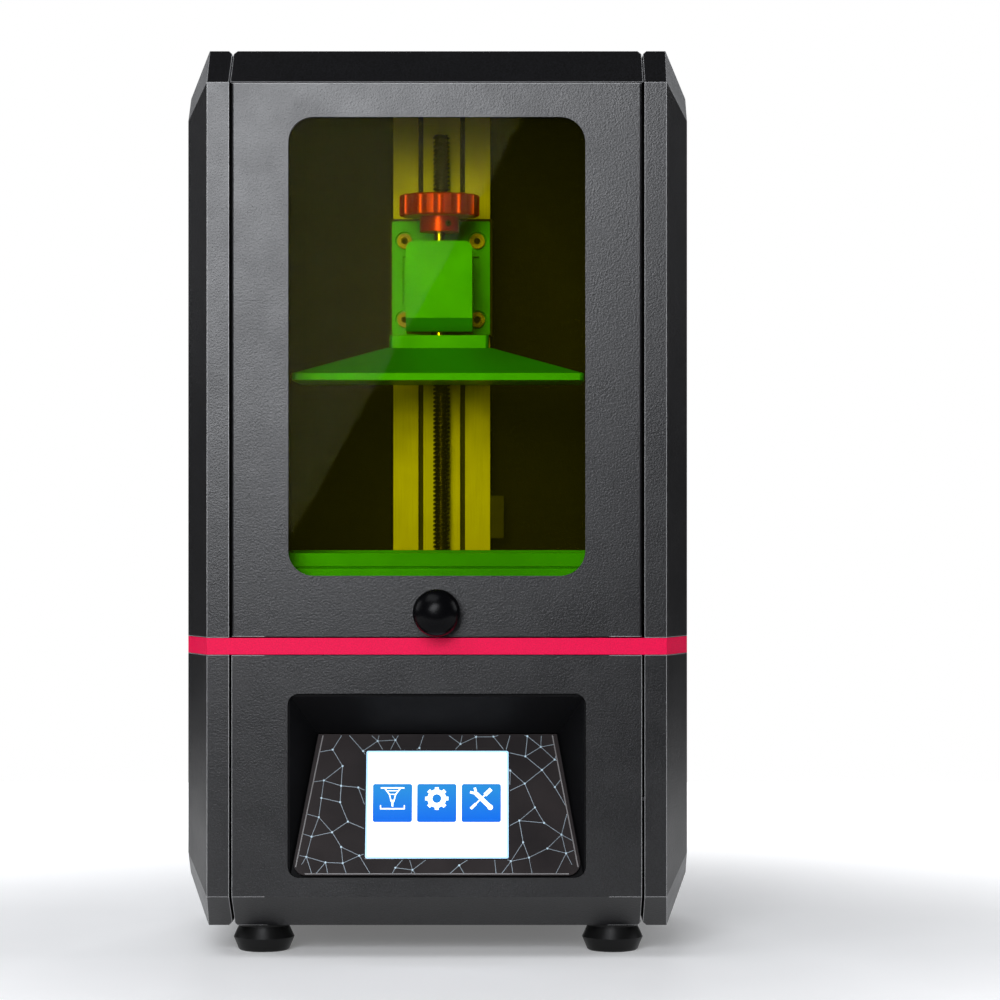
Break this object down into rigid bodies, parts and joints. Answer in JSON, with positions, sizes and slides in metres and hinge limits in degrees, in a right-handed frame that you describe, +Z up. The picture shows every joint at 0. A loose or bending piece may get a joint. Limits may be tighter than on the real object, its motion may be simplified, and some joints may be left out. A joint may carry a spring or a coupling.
{
  "type": "resin printer",
  "caption": "Desktop resin printer: faceted steel casing, hinged door with yellow window, plate on a screw-driven carriage over a resin vat, sloped touch console.",
  "frame": {"origin": "centre of the bounding box's base, on the surface the feet stand on", "axes": "+X to the printer's right as seen from the front, -Y out of the front, +Z up"},
  "size_m": [0.22, 0.217, 0.398],
  "materials": {
    "casing_paint": "fine-textured charcoal powder coat",
    "trim_red": "satin raspberry red lacquer",
    "black_plate": "matt black powder coat",
    "gloss_black": "polished black moulding",
    "matte_black": "fine-grained black moulding",
    "foot_rubber": "soft black rubber",
    "window_yellow": "yellow light-blocking acrylic",
    "console_print": "black panel with a printed line network",
    "display_glass": "cover glass over a lit display",
    "lcd_glass": "dark masking display",
    "green_anodised": "emerald green anodised, fine milled",
    "red_anodised": "bright red anodised, turned",
    "bare_aluminium": "clear anodised extrusion",
    "sheet_steel": "zinc-plated sheet",
    "screw_steel": "blackened steel fasteners",
    "polished_steel": "ground steel",
    "nut_brass": "turned brass",
    "film_clear": "clear release film",
    "board_green": "green solder mask",
    "board_white": "white lamp board"
  },
  "bodies": {
    "root": {"left_side_shell": "casing_paint", "right_side_shell": "casing_paint", "top_cover": "casing_paint", "rear_panel": "casing_paint", "bottom_tray": "casing_paint", "front_panel": "casing_paint", "trim_band": "trim_red", "top_deck": "black_plate", "chamber_front_frame": "black_plate", "chamber_rear_wall": "black_plate", "hinge_brackets": "sheet_steel", "magnet_catch": "matte_black", "feet": "foot_rubber", "foot_screws": "screw_steel", "rear_panel_screws": "screw_steel", "console_bezel": "gloss_black", "console_plate": "console_print", "display_glass": "display_glass", "masking_lcd": "lcd_glass", "light_box": "bare_aluminium", "uv_led_board": "board_white", "heat_sink": "bare_aluminium", "lamp_fan_frame": "matte_black", "stepper_motor": "matte_black", "z_rail": "bare_aluminium", "limit_switch": "matte_black", "mainboard": "board_green", "usb_socket": "sheet_steel", "power_inlet": "matte_black", "switch_housing": "matte_black", "exhaust_fan_frame": "matte_black"},
    "door": {"door_shell": "casing_paint", "door_window": "window_yellow", "window_retainer": "black_plate", "window_screws": "screw_steel", "door_knob": "gloss_black", "knob_screw": "screw_steel", "door_hinge_blocks": "sheet_steel"},
    "carriage": {"slider_block": "matte_black", "lead_nut": "nut_brass", "carriage_plate": "green_anodised", "carriage_screws": "screw_steel", "z_arm": "green_anodised"},
    "lead_screw": {"lead_screw": "polished_steel"},
    "platform": {"platform_holder": "green_anodised", "ball_stud": "polished_steel"},
    "clamp_knob": {"platform_knob": "red_anodised", "clamp_stud": "polished_steel", "knob_set_screw": "screw_steel"},
    "build_plate": {"build_plate": "green_anodised", "plate_roof": "green_anodised", "socket_clamp": "green_anodised"},
    "vat": {"vat_frame": "green_anodised", "vat_film": "film_clear", "film_ring": "bare_aluminium"},
    "vat_screw_left": {"vat_screw_left": "matte_black"},
    "vat_screw_right": {"vat_screw_right": "matte_black"},
    "lamp_fan_rotor": {"lamp_fan_rotor": "matte_black"},
    "exhaust_fan_rotor": {"exhaust_fan_rotor": "matte_black"},
    "rocker": {"rocker": "gloss_black"}
  },
  "joints": [
    {"name": "door_hinge", "type": "hinge", "parent": "root", "child": "door", "pos_m": [-0.0826, -0.0871, 0.26], "axis": [0, 0, -1], "range_deg": [0, 100]},
    {"name": "z_slide", "type": "slide", "parent": "root", "child": "carriage", "axis": [0, 0, 1], "range_m": [-0.099, 0.053]},
    {"name": "screw_spin", "type": "hinge", "parent": "root", "child": "lead_screw", "pos_m": [0, 0.0305, 0.25], "axis": [0, 0, 1], "continuous": true},
    {"name": "platform_slide_off", "type": "slide", "parent": "carriage", "child": "platform", "axis": [0, -1, 0], "range_m": [0, 0.025]},
    {"name": "clamp_knob_turn", "type": "hinge", "parent": "platform", "child": "clamp_knob", "pos_m": [0, -0.0225, 0.33], "axis": [0, 0, 1], "range_deg": [0, 720]},
    {"name": "plate_tilt", "type": "hinge", "parent": "platform", "child": "build_plate", "pos_m": [0, -0.0225, 0.265], "axis": [1, 0, 0], "range_deg": [-2, 2]},
    {"name": "vat_slide", "type": "slide", "parent": "root", "child": "vat", "axis": [0, -1, 0], "range_m": [0, 0.014]},
    {"name": "vat_screw_left_turn", "type": "hinge", "parent": "root", "child": "vat_screw_left", "pos_m": [-0.084, -0.0215, 0.155], "axis": [0, 0, 1], "range_deg": [0, 720]},
    {"name": "vat_screw_right_turn", "type": "hinge", "parent": "root", "child": "vat_screw_right", "pos_m": [0.084, -0.0215, 0.155], "axis": [0, 0, 1], "range_deg": [0, 720]},
    {"name": "lamp_fan_spin", "type": "hinge", "parent": "root", "child": "lamp_fan_rotor", "pos_m": [0, -0.0225, 0.065], "axis": [0, 0, 1], "continuous": true},
    {"name": "exhaust_fan_spin", "type": "hinge", "parent": "root", "child": "exhaust_fan_rotor", "pos_m": [0, 0.0985, 0.33], "axis": [0, 1, 0], "continuous": true},
    {"name": "power_rocker", "type": "hinge", "parent": "root", "child": "rocker", "pos_m": [-0.052, 0.103, 0.048], "axis": [0, 0, 1], "range_deg": [0, 12]}
  ],
  "couplings": [
    {"joint": "screw_spin", "follows": "z_slide", "rad_per_m": -1570.8}
  ]
}
